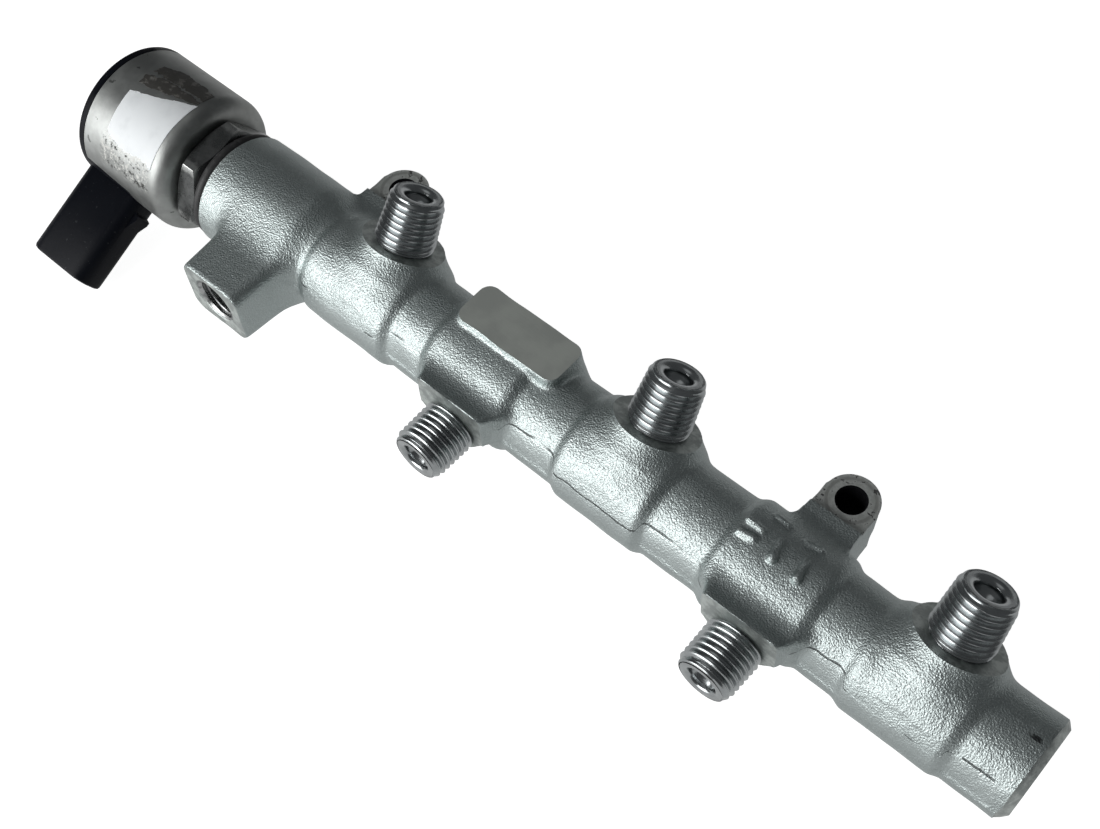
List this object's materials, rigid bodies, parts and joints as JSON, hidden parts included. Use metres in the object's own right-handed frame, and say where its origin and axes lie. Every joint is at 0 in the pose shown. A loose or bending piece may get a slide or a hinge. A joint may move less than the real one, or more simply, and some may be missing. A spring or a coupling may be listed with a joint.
{
  "type": "fuel rail",
  "caption": "Forged high-pressure fuel rail with threaded outlet stubs, side stubs, bolt lugs, a return boss and a solenoid pressure valve on its head.",
  "frame": {"origin": "centre of the sensor-end face, on the rail axis", "axes": "+X along the rail out of the sensor end, +Z along the rail bolts towards their heads, +Y towards the bolt lugs"},
  "size_m": [0.2749, 0.0714, 0.0509],
  "materials": {
    "forged_steel": "grey, shot-blasted and phosphated forging",
    "nut_steel": "dark zinc-nickel plated",
    "seal_rubber": "black",
    "turned_steel": "turned",
    "hard_steel": "ground",
    "bronze": "turned",
    "soft_iron": "turned",
    "spring_steel": "bright",
    "ptfe": "matt white",
    "bobbin_plastic": "matt",
    "copper_wire": "enamelled",
    "can_steel": "satin, drawn",
    "cover_plastic": "black, slightly glossy",
    "tin": "tinned"
  },
  "bodies": {
    "rail": {"rail_body": "forged_steel", "union_nut": "nut_steel", "nut_seal_ring": "seal_rubber", "valve_body": "turned_steel", "seat_insert": "hard_steel", "rod_guide": "bronze", "stop_shim": "hard_steel", "armature_sleeve": "turned_steel", "valve_spring": "spring_steel", "spring_plug": "turned_steel", "valve_o_ring": "seal_rubber", "backup_ring": "ptfe", "coil_bobbin": "bobbin_plastic", "coil_winding": "copper_wire", "front_yoke": "soft_iron", "rear_yoke": "soft_iron", "solenoid_can": "can_steel", "connector_cover": "cover_plastic", "terminal_pin_a": "tin", "terminal_pin_b": "tin", "front_coil_seal": "seal_rubber", "rear_coil_seal": "seal_rubber"},
    "armature_set": {"armature": "soft_iron", "push_rod": "hard_steel", "valve_ball": "hard_steel"}
  },
  "joints": [
    {"name": "armature_slide", "type": "slide", "parent": "rail", "child": "armature_set", "axis": [-1, 0, 0], "range_m": [0, 0.00025], "stiffness_N_per_m": 1000, "springref_m": -0.003}
  ]
}
